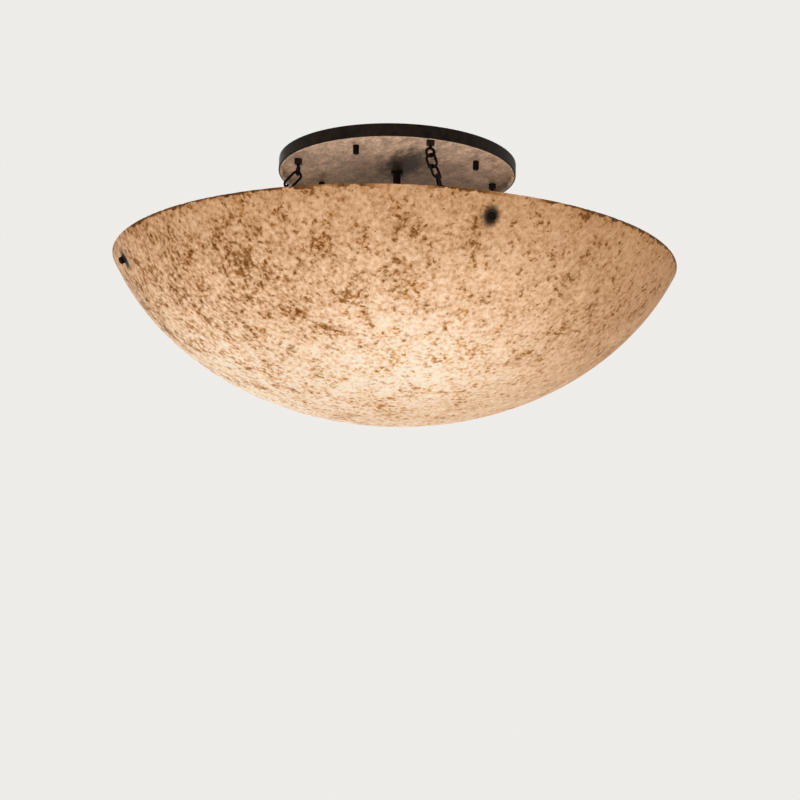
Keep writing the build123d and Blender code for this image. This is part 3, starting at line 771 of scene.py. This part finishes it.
def pan_finish():
    """The pan: a dark rolled band and top, and a mottled disc below of the same dark metal,
    painted pale as if lit from below and palest in front.
    """
    m = Nodes("pan_bronze")
    x, y, z = m.split(m.place)
    radius = m.vector("LENGTH", m.vector("MULTIPLY", m.place, (1.0, 1.0, 0.0)))
    brushed = m.vector("MULTIPLY", m.place, (1.5, 0.8, 1.0))
    mottle = m.noise(62.0, 5.0, 0.66, brushed)
    fine = m.noise(180.0, 3.0, 0.65, brushed)

    # Painted light: the disc is painted paler toward the front and toward the edge, where light
    # falls on it, and darker at its middle.
    forward = m.math("MULTIPLY_ADD", x, -0.30, m.math("MULTIPLY", y, -0.95))
    painted_lighting = m.math("MULTIPLY_ADD", forward, 0.55, m.math("MULTIPLY", radius, 0.45))
    painted_lighting = m.sway(painted_lighting, m.noise(14.0, 3.0, 0.55), 0.04)
    disc = m.ramp(m.math("DIVIDE", painted_lighting, pan_radius), *PAINTED_DISC_LIGHT)
    shade = m.math("MULTIPLY", m.ramp(mottle, (0.30, 0.52), (0.70, 1.42)),
                   m.ramp(fine, (0.30, 0.74), (0.70, 1.26)))

    # A painted shadow and reflection of the stem lies before it, longer from front to back than
    # it is wide.
    stem_shadow_place, stem_shadow_reach = (0.0, -0.036, 0.0), 0.034
    aside = m.vector("MULTIPLY", m.vector("SUBTRACT", m.place, stem_shadow_place), (1.0, 0.50, 0.0))
    off = m.math("DIVIDE", m.vector("LENGTH", aside), stem_shadow_reach)
    off = m.sway(off, mottle, 0.9)
    # The stem's painted shadow and reflection darken the disc's mottled tone.
    shade = m.dim(shade, m.step(off, 1.25, 0.35), 0.86)

    dark = m.mix(m.step(mottle, 0.36, 0.66), PAN_DARK, PAN_LIGHT)
    within = m.step(radius, pan_radius - 0.0012, pan_radius - 0.0022)
    below = m.math("MULTIPLY", within, m.step(z, pan_disc_z + 0.0004, pan_disc_z))
    m.set(Base_Color=m.mix(below, dark, m.vector("SCALE", disc, shade)),
          Metallic=m.math("MULTIPLY", below, 0.3), Specular_IOR_Level=0.06,
          Roughness=m.ramp(mottle, (0.25, 0.42), (0.75, 0.58)))
    m.grained_bump(mottle, fine, 0.15, 0.0004)
    return m.material


def clouded(name, light, dark, rough, scale, grain, metallic=0.0):
    """Faint clouding and a fine grain, given as its scale against the clouds' and its depth."""
    m = Nodes(name)
    cloud = m.noise(scale, 4.0, 0.6)
    m.set(Base_Color=m.mix(m.step(cloud, 0.35, 0.68), dark, light), Metallic=metallic,
          Roughness=m.ramp(cloud, (0.3, rough[0]), (0.7, rough[1])))
    finer, depth = grain
    m.bump(m.noise(scale * finer, 2.0), depth, 0.0002)
    return m.material


def plain_metal(name, light, dark, metallic, rough=(0.28, 0.46)):
    return clouded(name, light, dark, rough, 60.0, (18, 0.15), metallic)


def matte(name, light, dark, rough, scale):
    """Ceramic, rubber or plastic."""
    return clouded(name, light, dark, rough, scale, (12, 0.12))


def frosted_bulb():
    """Frosted envelope, brightest round its middle."""
    m = Nodes("frosted_bulb")
    middles = [round_axis(globe_middle_r, angle, lamp_z) for angle in SIDES.values()]
    off_middle = [m.vector("DISTANCE", m.place, middle) for middle in middles]
    nearest = m.math("MULTIPLY", m.fold("MINIMUM", off_middle), 14.0)
    lit = m.ramp(nearest, (0.40, (0.93, 0.80, 0.60)), (0.62, (0.80, 0.60, 0.38)))
    frost = m.noise(160.0, 3.0)
    m.set(Base_Color=m.mix(frost, (0.80, 0.77, 0.72), (0.90, 0.88, 0.84)), Roughness=0.55)
    m.set(Emission_Color=lit, Emission_Strength=0.6)
    m.bump(frost, 0.1, 0.0002)
    return m.material


# --------------------------------------------------------------------- assembly
glass = art_glass()
patina = bronze("bronze", (0.024, 0.0155, 0.0110), (0.0070, 0.0045, 0.0031), 0.3, 0.12)
iron = bronze("chain_iron", (0.0088, 0.0050, 0.0032), (0.0028, 0.0015, 0.0010), 0.15, 0.05)
zinc = plain_metal("zinc", (0.62, 0.63, 0.64), (0.48, 0.49, 0.50), 0.85)
brass = plain_metal("brass", (0.78, 0.60, 0.30), (0.66, 0.48, 0.22), 0.9)
nickel = plain_metal("nickel", (0.70, 0.69, 0.66), (0.58, 0.57, 0.54), 0.95, (0.2, 0.36))
ceramic = matte("ceramic", (0.80, 0.79, 0.75), (0.72, 0.70, 0.66), (0.25, 0.4), 90.0)
rubber = matte("rubber", (0.030, 0.028, 0.026), (0.018, 0.017, 0.016), (0.6, 0.8), 200.0)
plastic = matte("plastic", (0.055, 0.052, 0.050), (0.035, 0.033, 0.032), (0.4, 0.55), 150.0)
SLOT_MATERIALS = {
    "bronze": patina, "chain_iron": iron, "zinc": zinc, "art_glass": glass,
    "bulb_glass": frosted_bulb(), "brass": brass, "ceramic": ceramic, "rubber": rubber,
    "plastic": plastic, "nickel": nickel,
}
for part in frame["record"]["subparts"]:
    name, slot = part["node"], part["material_slot"]
    finish = pan_finish() if name == "ceiling_pan" else SLOT_MATERIALS[slot]
    NODES[name].data.materials.clear()
    NODES[name].data.materials.append(finish)

build_bowl(glass)
build_chains(iron)
build_knobs(iron)
build_stem(iron)
build_lampholders(ceramic, brass)
build_bulb_caps(nickel)


# ------------------------------------------------------------------ stage and light
PALE = (0.86, 0.84, 0.81)
WORLD_LIGHT = (1.0, 0.985, 0.96)
WORLD_STRENGTH = 0.62
# Each lamp's name, place, target, width and watts.
LAMPS = [
    ("key", (-2.6, -3.2, -1.2), (0, 0, -0.1), 2.4, 90),
    ("fill", (3.2, -1.8, -1.0), (0, 0, -0.1), 2.6, 45),
    ("back", (0.6, 3.4, 0.8), (0, 0, -0.2), 2.4, 50),
]


def stage_floor():
    """A wide pale floor well under the light."""
    half, z = 40.0, -4.2
    verts = [(-half, -half, z), (half, -half, z), (half, half, z), (-half, half, z)]
    mesh = mesh_of("floor", (verts, [(0, 1, 2, 3)]))
    m = Nodes("floor_paint")
    paint = m.mix(m.noise(0.8, 3.0), (0.80, 0.78, 0.75), (0.84, 0.82, 0.79))
    seen = m.add("ShaderNodeLightPath").outputs["Is Camera Ray"]
    m.set(Base_Color=paint, Roughness=0.9, Emission_Color=PALE,
          Emission_Strength=m.math("MULTIPLY", seen, 0.18))
    mesh.materials.append(m.material)
    in_scene("floor", mesh)


def stage_world():
    """Soft light from all round, and a pale background for camera, clear and glossy rays."""
    world = bpy.data.worlds.new("studio")
    bpy.context.scene.world = world
    world.use_nodes = True
    tree = world.node_tree
    tree.nodes.clear()

    def background(colour, strength):
        node = tree.nodes.new("ShaderNodeBackground")
        node.inputs["Color"].default_value = (*colour, 1.0)
        node.inputs["Strength"].default_value = strength
        return node.outputs[0]

    path = tree.nodes.new("ShaderNodeLightPath")
    seen = path.outputs["Is Camera Ray"]
    for ray in ("Is Transmission Ray", "Is Glossy Ray"):
        either = tree.nodes.new("ShaderNodeMath")
        either.operation = "MAXIMUM"
        tree.links.new(seen, either.inputs[0])
        tree.links.new(path.outputs[ray], either.inputs[1])
        seen = either.outputs[0]
    mix = tree.nodes.new("ShaderNodeMixShader")
    light = background(WORLD_LIGHT, WORLD_STRENGTH)
    for value, socket in zip((seen, light, background(PALE, 1.0)), mix.inputs):
        tree.links.new(value, socket)
    out = tree.nodes.new("ShaderNodeOutputWorld")
    tree.links.new(mix.outputs[0], out.inputs[0])


def area_lamp(name, place, target, width, watts):
    data = bpy.data.lights.new(name, "AREA")
    data.shape = "DISK"
    data.size = width
    data.energy = watts
    lamp = in_scene(name, data)
    lamp.location = place
    aim = Vector(target) - Vector(place)
    lamp.rotation_euler = aim.to_track_quat("-Z", "Y").to_euler()


def photo_camera():
    """The photograph's view: from the front left and below, looking up a little."""
    place = (-0.6277, -1.9908, -0.7066)
    heading, pitch, roll = radians(72.5), radians(10.79), radians(1.67)
    data = bpy.data.cameras.new("camera")
    data.lens = 76.41
    data.sensor_width = 36.0
    data.shift_x = 0.0119
    camera = in_scene("camera", data)
    look = Vector((cos(pitch) * cos(heading), cos(pitch) * sin(heading), sin(pitch)))
    turn = look.to_track_quat("-Z", "Y").to_matrix() @ Matrix.Rotation(roll, 3, "Z")
    camera.matrix_world = Matrix.Translation(place) @ turn.to_4x4()
    bpy.context.scene.camera = camera


stage_floor()
stage_world()
for lamp in LAMPS:
    area_lamp(*lamp)
photo_camera()
bpy.context.scene.view_settings.view_transform = "Standard"
